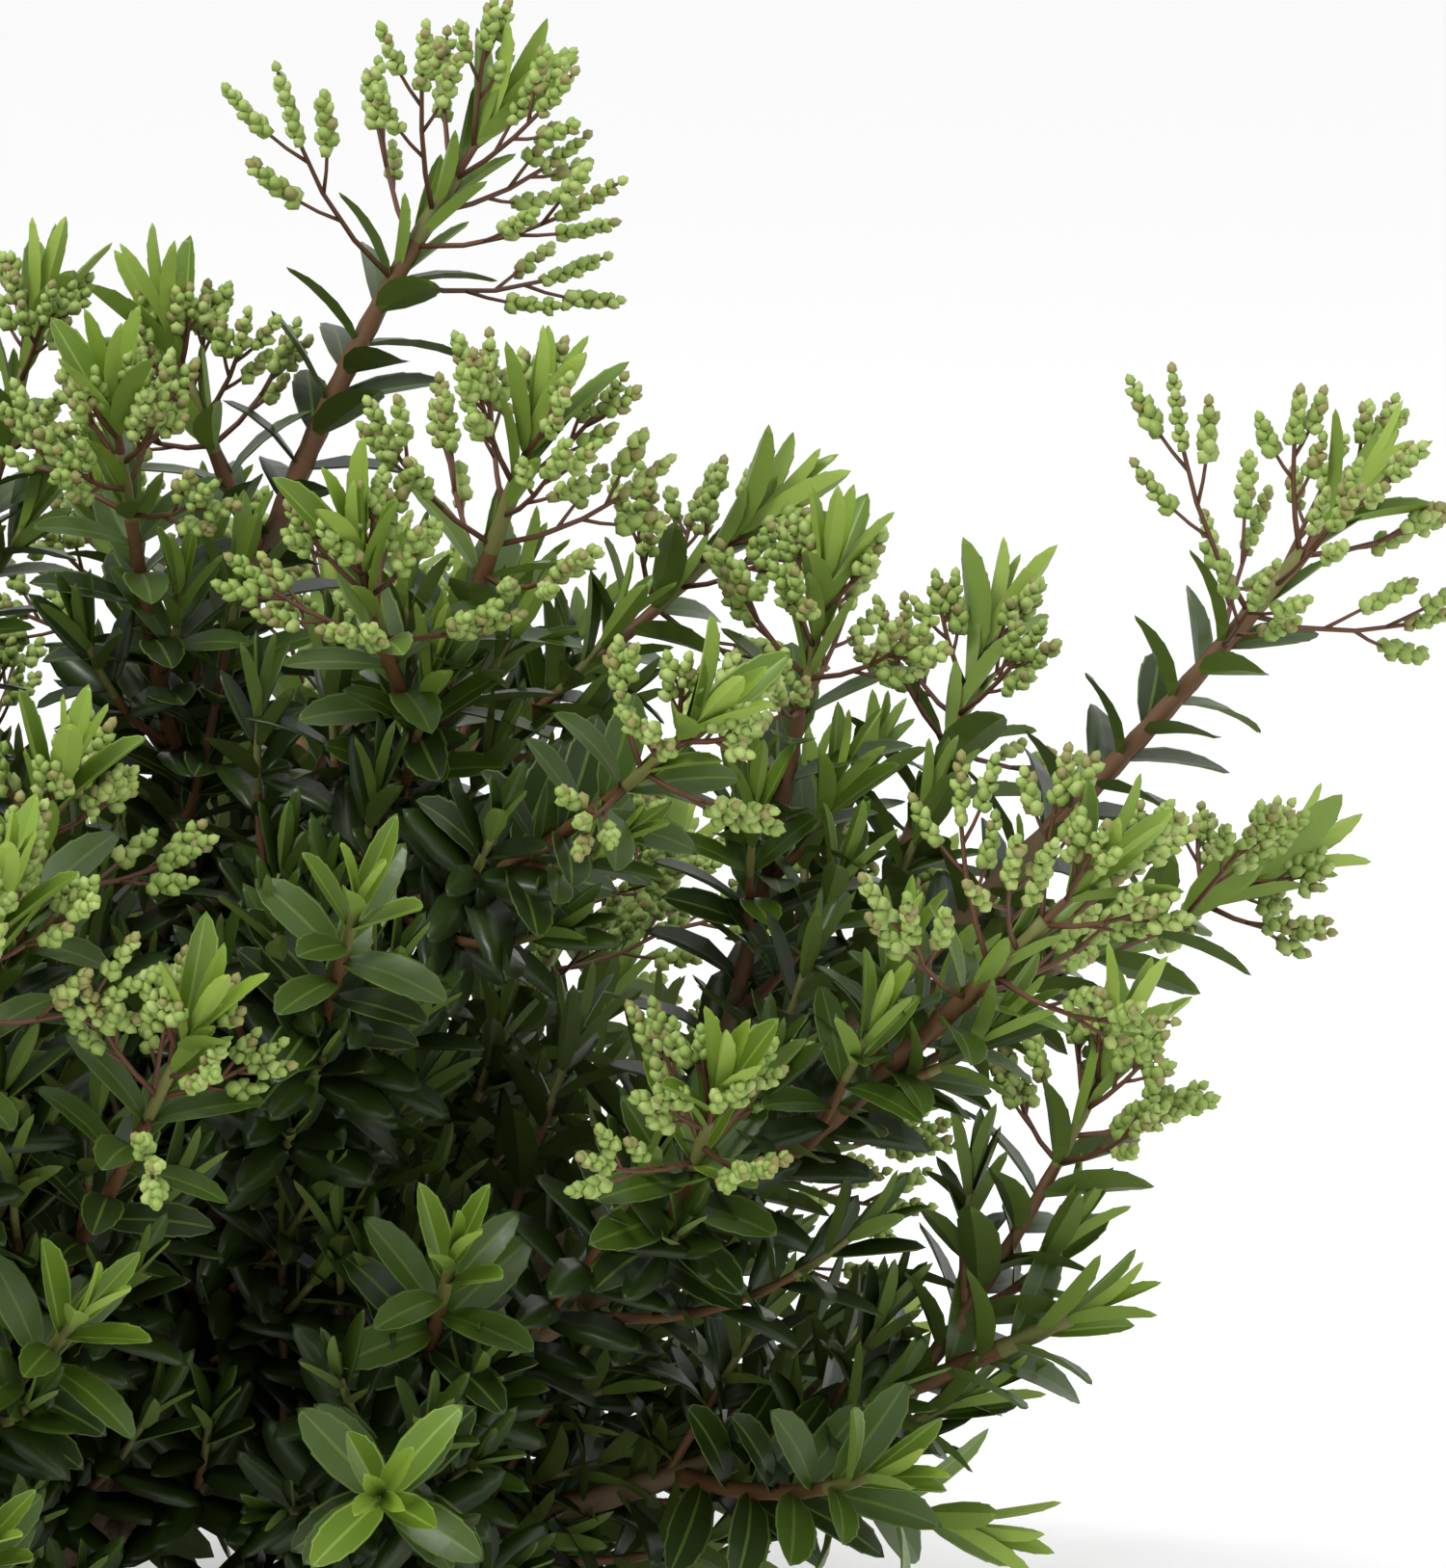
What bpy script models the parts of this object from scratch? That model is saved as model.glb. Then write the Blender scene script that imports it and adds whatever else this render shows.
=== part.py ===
"""A hebe in tight bud: a low evergreen shrub with paired leaves and clusters of bud spikes.

The plant is a short woody stem with a flat cut at ground level, its boughs, and one mass of leafy
shoots on each bough. Every shoot points away from one crown centre, and each mass keeps to its own
cone of directions, so that no two masses meet. Metres, +Z up, the origin at the flat cut.
"""

import math
import random

import bmesh
import bpy
from mathutils import Matrix, Vector

MM = 0.001
SEED = 11
UP = Vector((0.0, 0.0, 1.0))

# The woody stem: height and radius of each ring, from the root flare to its tip.
STEM_RINGS_MM = ((0, 10.5), (3, 9.0), (8, 7.9), (16, 7.3), (30, 6.7), (46, 5.8), (58, 4.6))
STEM_UPRIGHT = 8 * MM
STEM_LEAN = 0.10
STEM_SIDES = 14

# Where the crown fans out from, and how far shoots reach from there at the ground, at the shoulder
# and at the top of the dome.
CROWN_CENTRE = Vector((0.0, 0.0, 30 * MM))
GROUND_REACH = 135 * MM
SHOULDER_REACH = 198 * MM
SHOULDER_ELEVATION = 30.0
TOP_REACH = 178 * MM

# The masses of foliage, ring by ring: elevation, number, and the bearing of the first.
MASS_RINGS = {"top": (84, 1, 5), "upper": (56, 4, -38), "middle": (33, 6, -32), "lower": (10, 5, -16)}
SETTLING_ROUNDS = 3

# Where each bough leaves the stem: the steeper it is, the higher, give or take a step that keeps
# it clear of its neighbours.
TOP_START, HIGHEST_START = 58 * MM, 41 * MM
START_BASE, START_PER_DEGREE = 8.5 * MM, 0.6 * MM
START_STEPS = (0.0, 1.5 * MM, -1.5 * MM, 3 * MM, -3 * MM, 4.5 * MM, -4.5 * MM)
BOUGH_CLEARANCE = 0.6 * MM
TOP_BOUGH_RADIUS, STEEP_BOUGH_RADIUS, LOW_BOUGH_RADIUS = 3.8 * MM, 2.6 * MM, 2.5 * MM

# Shoots of the side that faces the viewer and the right: bearing and elevation in degrees, reach in
# millimetres, and the size of the bud cluster at the tip, 0 for none and 1 for the largest.
FRONT_SHOOTS = (
    (5, 74, 221, 1.0),  # the crest, highest of all
    (-38, 62, 192, 0.85),
    (-45, 45, 188, 0.65),
    (-17, 50, 189, 0.7),
    (-28, 32, 200, 0.95),  # the broad front cluster
    (-4, 39, 247, 1.0),  # the far right arm
    (8, 28, 210, 0.6),
    (-7, 24, 175, 0.6),
    (-13, 14, 164, 0),
    (-26, 8, 140, 0),
    (-14, 3, 142, 0),
    (-42, 30, 155, 0.6),
    (-54, 28, 119, 0),
    (-92, 41, 160, 0.85),
    (-79, 37, 148, 0.6),
    (108, 82, 183, 0.7),
    (-73, 78, 176, 0.6),
    (0, 84, 182, 0.6),
    (-55, 61, 177, 0.6),
    (11, 56, 183, 0.65),
    (14, 42, 196, 0.65),
    (-88, 51, 157, 0.6),
    (-65, 44, 160, 0),
    (-93, 9, 118, 0),
    (-86, 24, 128, 0),
)

# The rest of the dome is filled by an even spiral of shoots.
SPIRAL_COUNT = 62
SPIRAL_LOWEST = 0.04
SPIRAL_CLEARANCE = math.radians(15)
REACH_SPREAD = (0.86, 1.02)
LONG_ARM_EVERY = 9
LONG_ARM = 1.16
FRONT_FROM, FRONT_TO = -100.0, 60.0
FRONT_SHARE = 0.84
LOWEST_FLOWERING = math.radians(17)
CLUSTER_SIZES = (0.6, 0.95)

# Limbs are quadratic curves: low ones leave the stem nearly level and turn up, and steep ones rise
# first and lean out near the top.
LOW_BEND = (0.52, 0.28)
STEEP_BEND = (0.15, 0.60)
STEEP_FROM, STEEP_TO = 60.0, 74.0
BENDS = (1.0, 0.8, 0.6, 0.4, 0.2, 0.0)
CURVE_STEPS, BOUGH_STEPS, LEADER_STEPS = 40, 6, 6
BOUGH_LENGTH = 56 * MM
TOP_BOUGH_LENGTH = 62 * MM
BOUGH_TIP_RADIUS = 2.3 * MM
LEADER_TIP_RADIUS = 1.3 * MM
BOUGH_SIDES = 7
LEADER_SIDES = 5
JOINT_GAP = 0.3 * MM

# Side shoots leave their leader at this angle.
BRANCH_ANGLE = math.radians(42)
SIDE_SAG = 0.22
SIDE_PULLS = (0.0, 0.12, 0.24, 0.36)
SIDE_STEPS = 3
SIDE_RADIUS = 1.5 * MM
SIDE_TIP_RADIUS = 0.9 * MM
TWIG_SIDES = 3

# Leaves stand in pairs, each pair turned a quarter from the last. They are larger than life and
# fewer, so that the crown is as full as the real one.
LEAF_LENGTH = 38 * MM
LEAF_WIDTH = 13.5 * MM
LEAF_THICKNESS = 1.3 * MM
LEAF_WIDEST = 0.48
LEAF_SINK = 0.9 * MM
LEAF_SIZE_SPREAD = (0.85, 1.05)
PAIR_SPACING = 11 * MM
SPACING_GROWTH = 1.12
SIDE_PAIRS, LEADER_PAIRS = 4, 6
LEAFLESS_TIP, LEAFLESS_CLUSTER = 2 * MM, 13 * MM
SPREAD_OLD, SPREAD_YOUNG = math.radians(66), math.radians(30)

# A bud cluster: spikes of buds on stalks from the uppermost leaves, tier by tier.
SPIKE_LENGTH = 36 * MM
SPIKE_STALK_RADIUS = 0.9 * MM
SPIKE_HEAD_RADIUS = 5.6 * MM
SPIKE_HEAD_FROM, SPIKE_WIDEST = 0.40, 0.66
SPIKE_SIDES = 3
LARGE_CLUSTER = 0.62
CLUSTER_TIERS = (
    (-10 * MM, math.radians(60), 2),
    (-5 * MM, math.radians(38), 2),
    (-1 * MM, math.radians(8), 1),
)

# Room that is kept free between masses, around limbs and above the ground.
MASS_MARGIN = 0.3 * MM
LIMB_MARGIN = 0.5 * MM
GROUND_MARGIN = 1.0 * MM

# Colour, roughness
BARK = ((0.20, 0.11, 0.06), 0.75)
FOLIAGE = ((0.075, 0.16, 0.045), 0.5)


def bearing(azimuth, elevation):
    """The unit direction at an azimuth from +X towards +Y and an elevation, both in radians."""
    level = math.cos(elevation)
    return Vector((level * math.cos(azimuth), level * math.sin(azimuth), math.sin(elevation)))


def elevation_of(direction):
    return math.asin(max(-1.0, min(1.0, direction.normalized().z)))


def blend(a, b, share):
    return a + (b - a) * max(0.0, min(1.0, share))


def dome_reach(elevation):
    """How far the dome's shoots reach from the crown centre at an elevation in radians."""
    degrees = math.degrees(elevation)
    if degrees < SHOULDER_ELEVATION:
        rise = math.sin(math.pi / 2 * max(0.0, degrees) / SHOULDER_ELEVATION)
        return blend(GROUND_REACH, SHOULDER_REACH, rise)
    fall = ((degrees - SHOULDER_ELEVATION) / (90 - SHOULDER_ELEVATION)) ** 2
    return blend(SHOULDER_REACH, TOP_REACH, fall)


def front_shoots():
    """The shoots of the front and right side: tips from the crown centre, and sizes of cluster."""
    return [
        (bearing(math.radians(azimuth), math.radians(elevation)) * reach * MM, cluster)
        for azimuth, elevation, reach, cluster in FRONT_SHOOTS
    ]


def spiral_shoots(taken):
    """An even spiral of shoots over the dome, left out where a shoot already stands."""
    draw = random.Random(SEED)
    golden_angle = math.pi * (3 - math.sqrt(5))
    made = []
    for i in range(SPIRAL_COUNT):
        elevation = math.asin(blend(SPIRAL_LOWEST, 1.0, (i + 0.5) / SPIRAL_COUNT))
        direction = bearing(i * golden_angle, elevation)
        share = draw.uniform(*REACH_SPREAD)
        if any(direction.angle(tip) < SPIRAL_CLEARANCE for tip, _ in taken):
            continue
        if FRONT_FROM < math.degrees(math.atan2(direction.y, direction.x)) < FRONT_TO:
            share *= FRONT_SHARE
        elif len(made) % LONG_ARM_EVERY == LONG_ARM_EVERY // 2:
            share = LONG_ARM
        cluster = draw.uniform(*CLUSTER_SIZES) if elevation > LOWEST_FLOWERING else 0
        made.append((direction * dome_reach(elevation) * share, cluster))
    return made


def mass_directions(tips):
    """One direction for each mass: that of the leading shoot among those nearest to its place."""
    names, directions = [], []
    for ring, (elevation, count, first) in MASS_RINGS.items():
        for k in range(count):
            names.append((ring, k + 1))
            azimuth = math.radians(first + 360 * k / count)
            directions.append(bearing(azimuth, math.radians(elevation)))
    for _ in range(SETTLING_ROUNDS):
        groups = grouped(tips, directions)
        directions = [
            sum((tips[i].normalized() for i in group), Vector()).normalized() if group else old
            for group, old in zip(groups, directions)
        ]
    groups = grouped(tips, directions)
    leaders = [leader_of(group, tips, own) for group, own in zip(groups, directions)]
    return names, [tips[i].normalized() for i in leaders]


def leader_of(group, tips, direction):
    """The shoot that the mass's stem becomes: long, and near the middle of the mass."""
    return max(group, key=lambda i: tips[i].dot(direction) ** 3 / tips[i].length ** 2)


def grouped(tips, directions):
    """For each direction, the indices of the tips that it is nearest to."""
    groups = [[] for _ in directions]
    for i, tip in enumerate(tips):
        best = max(range(len(directions)), key=lambda k: tip.dot(directions[k]))
        groups[best].append(i)
    return groups


class Cone:
    """The space of one mass: the points whose direction from the crown centre is nearest to its own."""

    def __init__(self, own, others):
        self.walls = [(own - other).normalized() for other in others]

    def holds(self, points, margin):
        return all(
            (point - CROWN_CENTRE).dot(wall) > margin for wall in self.walls for point in points
        )


def quadratic(start, control, end, steps):
    return [
        start * (1 - t) ** 2 + control * 2 * t * (1 - t) + end * t**2
        for t in (k / steps for k in range(steps + 1))
    ]


def stem_axis(height):
    """The middle of the woody stem at a height: upright at the root flare, then leaning right."""
    risen = max(0.0, height - STEM_UPRIGHT)
    return Vector((STEM_LEAN * risen**2 / (STEM_RINGS_MM[-1][0] * MM), 0.0, height))


def limb_path(ring, tip, step, cone):
    """The curve of a bough and its leader: as bent as the leader's cone allows."""
    degrees = math.degrees(elevation_of(tip))
    height = min(START_BASE + START_PER_DEGREE * degrees, HIGHEST_START) + step
    start = stem_axis(TOP_START if ring == "top" else height)
    end = CROWN_CENTRE + tip
    steepness = (degrees - STEEP_FROM) / (STEEP_TO - STEEP_FROM)
    out = blend(LOW_BEND[0], STEEP_BEND[0], steepness)
    up = blend(LOW_BEND[1], STEEP_BEND[1], steepness)
    span = end - start
    for bend in BENDS:
        control = Vector((span.x * blend(0.5, out, bend), span.y * blend(0.5, out, bend), 0.0))
        control += UP * span.z * blend(0.5, up, bend)
        path = quadratic(start, start + control, end, CURVE_STEPS)
        leafy = [point for point in path if (point - start).length > BOUGH_LENGTH]
        if cone.holds(leafy, BOUGH_TIP_RADIUS + MASS_MARGIN):
            return path
    return path


def lengths_along(path):
    total = [0.0]
    for a, b in zip(path, path[1:]):
        total.append(total[-1] + (b - a).length)
    return total


def point_at(path, distance):
    """The point and the direction at a distance along a path."""
    along = lengths_along(path)
    for k in range(len(path) - 1):
        if distance <= along[k + 1] or k == len(path) - 2:
            share = (distance - along[k]) / (along[k + 1] - along[k])
            return path[k].lerp(path[k + 1], share), (path[k + 1] - path[k]).normalized()


def stretch(path, start, end, steps):
    """The part of a path between two distances, as evenly spaced points."""
    return [point_at(path, start + (end - start) * k / steps)[0] for k in range(steps + 1)]


def side_path(leader, tip, own, cone):
    """A side shoot: it leaves the leader at the branch angle and turns up to its tip.

    A tip at the edge of the cone is drawn in towards the cone's middle until the shoot fits.
    """
    length = lengths_along(leader)[-1]
    for pull in SIDE_PULLS:
        end = CROWN_CENTRE + tip.lerp(own * tip.length, pull)
        bases = [point_at(leader, length * k / 20) for k in range(1, 16)]
        base = min(bases, key=lambda at: abs((end - at[0]).angle(at[1]) - BRANCH_ANGLE))[0]
        for sag in (SIDE_SAG, 0.0):
            control = base.lerp(end, 0.5) - UP * sag * (end - base).length * 0.5
            path = quadratic(base, control, end, SIDE_STEPS)
            if cone.holds(path[1:], SIDE_RADIUS):
                return path
    return path


def gap_to(point, limb):
    """The distance from a point to a limb's surface, less than nothing inside it."""
    path, radii = limb
    gaps = []
    for a, b, radius in zip(path, path[1:], radii):
        edge = b - a
        share = max(0.0, min(1.0, (point - a).dot(edge) / edge.length_squared))
        gaps.append((point - a - edge * share).length - radius)
    return min(gaps)


def clear_of_limbs(points, limbs):
    """Whether every point stays outside the woody stem and the boughs."""
    return all(gap_to(point, limb) > LIMB_MARGIN for point in points for limb in limbs)


def polygon_profile(sides):
    """A regular polygon of unit radius that a curve is swept with."""
    curve = bpy.data.curves.new(f"profile_{sides}", "CURVE")
    curve.dimensions = "2D"
    spline = curve.splines.new("POLY")
    spline.points.add(sides - 1)
    spline.use_cyclic_u = True
    for k, point in enumerate(spline.points):
        turn = 2 * math.pi * (k + 0.5) / sides
        point.co = (math.cos(turn), math.sin(turn), 0.0, 1.0)
    profile = bpy.data.objects.new(curve.name, curve)
    profile.hide_render = True
    helpers.objects.link(profile)
    return profile


def outward(mesh):
    """The same mesh, closed up and with every face turned outward."""
    body = bmesh.new()
    body.from_mesh(mesh)
    bmesh.ops.remove_doubles(body, verts=body.verts, dist=0.001 * MM)
    bmesh.ops.recalc_face_normals(body, faces=body.faces)
    body.to_mesh(mesh)
    body.free()
    return mesh


def swept_mesh(name, path, radii, sides):
    """A closed tapering limb along a path, as a mesh."""
    curve = bpy.data.curves.new(name, "CURVE")
    curve.dimensions = "3D"
    spline = curve.splines.new("POLY")
    spline.points.add(len(path) - 1)
    for point, place, radius in zip(spline.points, path, radii):
        point.co = (*place, 1.0)
        point.radius = radius
    curve.bevel_mode = "OBJECT"
    curve.bevel_object = profiles[sides]
    curve.use_fill_caps = True
    swept = bpy.data.objects.new(name, curve)
    helpers.objects.link(swept)
    bpy.context.view_layer.update()
    graph = bpy.context.evaluated_depsgraph_get()
    mesh = bpy.data.meshes.new_from_object(swept.evaluated_get(graph))
    bpy.data.objects.remove(swept)
    return outward(mesh)


def leaf_mesh():
    """A keeled leaf of four faces, one unit long, with its root at the origin."""
    half_width = 0.5 * LEAF_WIDTH / LEAF_LENGTH
    thickness = LEAF_THICKNESS / LEAF_LENGTH
    margins = [(LEAF_WIDEST, side * half_width, thickness) for side in (1, -1)]
    mesh = bpy.data.meshes.new("leaf")
    mesh.from_pydata([(0, 0, 0), (1, 0, 0), *margins], [], [(0, 1, 2), (1, 0, 3), (0, 2, 3), (2, 1, 3)])
    return outward(mesh)


def spike_mesh():
    """A spike of buds on its stalk, along +X: a turned club with its root at the origin."""
    outline = (
        (0.0, 0.0),
        (0.0, SPIKE_STALK_RADIUS),
        (SPIKE_LENGTH * SPIKE_HEAD_FROM, SPIKE_STALK_RADIUS),
        (SPIKE_LENGTH * SPIKE_WIDEST, SPIKE_HEAD_RADIUS),
        (SPIKE_LENGTH, 0.0),
    )
    profile = bpy.data.meshes.new("spike_profile")
    corners = [(x, radius, 0.0) for x, radius in outline]
    profile.from_pydata(corners, [(k, k + 1) for k in range(len(outline) - 1)], [])
    turned = bpy.data.objects.new("spike", profile)
    helpers.objects.link(turned)
    screw = turned.modifiers.new("Turn", "SCREW")
    screw.axis = "X"
    screw.steps = screw.render_steps = SPIKE_SIDES
    screw.use_merge_vertices = True
    screw.merge_threshold = 0.0001 * MM
    bpy.context.view_layer.update()
    graph = bpy.context.evaluated_depsgraph_get()
    mesh = bpy.data.meshes.new_from_object(turned.evaluated_get(graph))
    bpy.data.objects.remove(turned)
    return outward(mesh)


def material(name, finish):
    colour, roughness = finish
    made = bpy.data.materials.new(name)
    made.use_nodes = True
    shader = made.node_tree.nodes["Principled BSDF"]
    shader.inputs["Base Color"].default_value = (*colour, 1.0)
    shader.inputs["Roughness"].default_value = roughness
    return made


def placed(mesh, name, matrix, collection):
    made = bpy.data.objects.new(name, mesh)
    made.matrix_world = matrix
    collection.objects.link(made)
    return made


def corners_of(mesh, matrix):
    return [matrix @ vertex.co for vertex in mesh.vertices]


def standing_frame(root, along, side):
    """A matrix at a root whose X runs along a leaf or spike and whose Y runs across it."""
    across = along.cross(side).normalized()
    face = along.cross(across).normalized()
    turn = Matrix((along, across, face)).transposed().to_4x4()
    return Matrix.Translation(root) @ turn


def sideways(direction):
    """Two unit vectors square to a direction, one of them as upright as can be."""
    level = direction.cross(UP)
    if level.length < 0.05:
        level = Vector((0.0, 1.0, 0.0)).cross(direction)
    level.normalize()
    return level.cross(direction).normalized(), level


def leaf_places(path, pairs, cluster, draw):
    """The matrix of each leaf of a shoot, pair by pair from the tip down."""
    length = lengths_along(path)[-1]
    distance = length - (LEAFLESS_CLUSTER if cluster else LEAFLESS_TIP)
    for pair in range(pairs):
        if distance < PAIR_SPACING * 0.5:
            return
        root, direction = point_at(path, distance)
        distance -= PAIR_SPACING * SPACING_GROWTH**pair
        upright, level = sideways(direction)
        side = upright if pair % 2 == 0 else level
        spread = blend(SPREAD_YOUNG, SPREAD_OLD, pair / 2)
        for sign in (1, -1):
            turned = Matrix.Rotation(draw.uniform(-0.2, 0.2), 3, direction) @ side * sign
            along = direction * math.cos(spread) + turned * math.sin(spread)
            size = LEAF_LENGTH * draw.uniform(*LEAF_SIZE_SPREAD)
            yield standing_frame(root - along * LEAF_SINK, along, turned) @ Matrix.Scale(size, 4)


def spike_places(path, cluster, draw):
    """The matrix of each bud spike of a flowering shoot, tier by tier."""
    length = lengths_along(path)[-1]
    tiers = CLUSTER_TIERS if cluster > LARGE_CLUSTER else CLUSTER_TIERS[1:]
    for tier, (offset, spread, count) in enumerate(tiers):
        root, direction = point_at(path, length + offset)
        upright, level = sideways(direction)
        side = level if tier % 2 == 0 else upright
        for k in range(count):
            turn = Matrix.Rotation(math.pi * k + 0.6 + draw.uniform(-0.3, 0.3), 3, direction)
            outward_side = turn @ side
            along = direction * math.cos(spread) + outward_side * math.sin(spread)
            yield standing_frame(root, along, outward_side) @ Matrix.Scale(cluster, 4)


def joined(name, base_mesh, pieces):
    """One solid: the base and the collection's pieces, fused by a single Boolean union."""
    base = placed(base_mesh, name, Matrix.Identity(4), plant)
    union = base.modifiers.new("Fuse", "BOOLEAN")
    union.operation = "UNION"
    union.operand_type = "COLLECTION"
    union.collection = pieces
    union.solver = "MANIFOLD"
    bpy.context.view_layer.update()
    graph = bpy.context.evaluated_depsgraph_get()
    fused = bpy.data.meshes.new_from_object(base.evaluated_get(graph))
    base.modifiers.clear()
    base.data = fused
    for piece in list(pieces.objects):
        bpy.data.objects.remove(piece)
    bpy.data.collections.remove(pieces)
    return base


def woody_stem():
    """The stem, flat at the ground, and a slightly larger copy that the boughs are cut with."""
    path = [stem_axis(height * MM) for height, _ in STEM_RINGS_MM]
    radii = [radius * MM for _, radius in STEM_RINGS_MM]
    stem = placed(swept_mesh("stem", path, radii, STEM_SIDES), "stem", Matrix.Identity(4), plant)
    stem.data.materials.append(bark)
    wider = [radius + JOINT_GAP for radius in radii]
    tall = [*path[:-1], path[-1] + UP * JOINT_GAP]
    cutter_mesh = swept_mesh("stem_cutter", tall, wider, STEM_SIDES)
    cutter = placed(cutter_mesh, "stem_cutter", Matrix.Identity(4), helpers)
    cutter.hide_render = True
    cutter.display_type = "WIRE"
    return cutter, (path, radii)


def bough_radius(ring):
    """The radius at which a bough of a ring leaves the stem."""
    if ring == "top":
        return TOP_BOUGH_RADIUS
    return STEEP_BOUGH_RADIUS if ring == "upper" else LOW_BOUGH_RADIUS


def bough(name, path, radius, cutter):
    """One bough, cut to the woody stem that carries it."""
    radii = [blend(radius, BOUGH_TIP_RADIUS, k / (len(path) - 1)) for k in range(len(path))]
    limb = placed(swept_mesh(name, path, radii, BOUGH_SIDES), name, Matrix.Identity(4), plant)
    limb.data.materials.append(bark)
    cut = limb.modifiers.new("Seat", "BOOLEAN")
    cut.operation = "DIFFERENCE"
    cut.object = cutter
    return path, radii


def foliage(name, shoots, cone, limbs, draw):
    """One mass: its stem, side shoots, leaves and bud spikes, fused into one solid."""
    pieces = bpy.data.collections.new(f"{name}_pieces")
    bpy.context.scene.collection.children.link(pieces)
    leader = shoots[0][0]
    for number, (path, cluster) in enumerate(shoots):
        if number > 0:
            taper = [blend(SIDE_RADIUS, SIDE_TIP_RADIUS, k / SIDE_STEPS) for k in range(len(path))]
            twig = swept_mesh("twig", path, taper, TWIG_SIDES)
            placed(twig, f"{name}_twig", Matrix.Identity(4), pieces)
        pairs = SIDE_PAIRS if number else LEADER_PAIRS
        things = [(leaf, matrix) for matrix in leaf_places(path, pairs, cluster, draw)]
        if cluster:
            things += [(spike, matrix) for matrix in spike_places(path, cluster, draw)]
        for mesh, matrix in things:
            corners = corners_of(mesh, matrix)
            if min(corner.z for corner in corners) < GROUND_MARGIN:
                continue
            if cone.holds(corners, MASS_MARGIN) and clear_of_limbs(corners, limbs):
                placed(mesh, f"{name}_{mesh.name}", matrix, pieces)
    radii = [
        blend(BOUGH_TIP_RADIUS, LEADER_TIP_RADIUS, k / (len(leader) - 1)) for k in range(len(leader))
    ]
    mass = joined(name, swept_mesh(name, leader, radii, LEADER_SIDES), pieces)
    mass.data.materials.clear()
    mass.data.materials.append(green)
    return mass


def crown_plan():
    """Every mass with its cone and the shoots it carries, the leading shoot first."""
    shoots = front_shoots()
    shoots += spiral_shoots(shoots)
    tips = [tip for tip, _ in shoots]
    names, directions = mass_directions(tips)
    plan = []
    for name, own, group in zip(names, directions, grouped(tips, directions)):
        cone = Cone(own, [other for other in directions if other is not own])
        group.sort(key=lambda i: -tips[i].normalized().dot(own))
        plan.append((*name, own, cone, [shoots[i] for i in group]))
    return plan


def clearance(path, limbs):
    """How far a bough's middle stays from the boughs made before, outside the woody stem."""
    outside = [point for point in path if gap_to(point, limbs[0]) > -JOINT_GAP]
    return min((gap_to(point, limb) for point in outside for limb in limbs[1:]), default=1.0)


def fitted_limb(ring, tip, cone, limbs):
    """A bough's wood and the leader that goes on from it, clear of the boughs made before."""
    length = TOP_BOUGH_LENGTH if ring == "top" else BOUGH_LENGTH
    best, path = None, None
    for step in START_STEPS:
        tried = limb_path(ring, tip, step, cone)
        room = clearance(stretch(tried, 0.0, length, CURVE_STEPS), limbs)
        if best is None or room > best:
            best, path = room, tried
        if room > bough_radius(ring) + BOUGH_CLEARANCE:
            break
    wood = stretch(path, 0.0, length, BOUGH_STEPS)
    leader = stretch(path, length + JOINT_GAP, lengths_along(path)[-1], LEADER_STEPS)
    return wood, leader


def shrub():
    """The whole plant: the stem, then the boughs, then the mass that each bough carries."""
    cutter, stem_limb = woody_stem()
    limbs, masses = [stem_limb], []
    for ring, number, own, cone, shoots in crown_plan():
        wood, leader = fitted_limb(ring, shoots[0][0], cone, limbs)
        limbs.append(bough(f"bough_{ring}_{number}", wood, bough_radius(ring), cutter))
        masses.append((f"foliage_{ring}_{number}", leader, shoots, own, cone))
    draw = random.Random(SEED)
    for name, leader, shoots, own, cone in masses:
        carried = [(leader, shoots[0][1])]
        for tip, cluster in shoots[1:]:
            path = side_path(leader, tip, own, cone)
            if cone.holds(path[1:], SIDE_RADIUS) and clear_of_limbs(path[1:], limbs):
                carried.append((path, cluster))
        foliage(name, carried, cone, limbs, draw)


for old in list(bpy.data.objects):
    bpy.data.objects.remove(old)
plant = bpy.data.collections.new("hebe")
helpers = bpy.data.collections.new("helpers")
for made_collection in (plant, helpers):
    bpy.context.scene.collection.children.link(made_collection)
profiles = {
    sides: polygon_profile(sides) for sides in (TWIG_SIDES, LEADER_SIDES, BOUGH_SIDES, STEM_SIDES)
}
bark = material("bark", BARK)
green = material("foliage", FOLIAGE)
leaf = leaf_mesh()
spike = spike_mesh()
shrub()
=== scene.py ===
import bisect
import math
import random

import bpy
import numpy as np
from mathutils import Matrix, Vector, noise


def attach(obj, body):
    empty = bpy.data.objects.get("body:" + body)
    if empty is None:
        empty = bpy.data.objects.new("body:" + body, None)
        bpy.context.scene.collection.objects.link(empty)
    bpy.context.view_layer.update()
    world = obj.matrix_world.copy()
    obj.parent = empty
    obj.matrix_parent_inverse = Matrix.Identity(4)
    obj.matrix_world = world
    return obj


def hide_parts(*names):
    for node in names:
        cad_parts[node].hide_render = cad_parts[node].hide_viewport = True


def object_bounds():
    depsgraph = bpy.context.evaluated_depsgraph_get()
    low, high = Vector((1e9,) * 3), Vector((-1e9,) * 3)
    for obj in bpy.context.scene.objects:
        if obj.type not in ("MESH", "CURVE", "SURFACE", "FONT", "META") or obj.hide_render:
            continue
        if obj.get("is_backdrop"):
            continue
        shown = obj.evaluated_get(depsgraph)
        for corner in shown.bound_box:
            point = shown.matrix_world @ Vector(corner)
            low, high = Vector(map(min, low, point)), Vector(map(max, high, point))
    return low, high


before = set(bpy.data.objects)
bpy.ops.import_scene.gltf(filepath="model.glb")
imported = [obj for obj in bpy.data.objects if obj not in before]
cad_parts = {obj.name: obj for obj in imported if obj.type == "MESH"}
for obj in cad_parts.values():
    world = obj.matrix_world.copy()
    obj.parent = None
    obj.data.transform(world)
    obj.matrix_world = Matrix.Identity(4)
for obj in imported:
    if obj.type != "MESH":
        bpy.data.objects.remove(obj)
CAD_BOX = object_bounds()

MM = 0.001
SEED = 11
UP = Vector((0.0, 0.0, 1.0))

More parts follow.
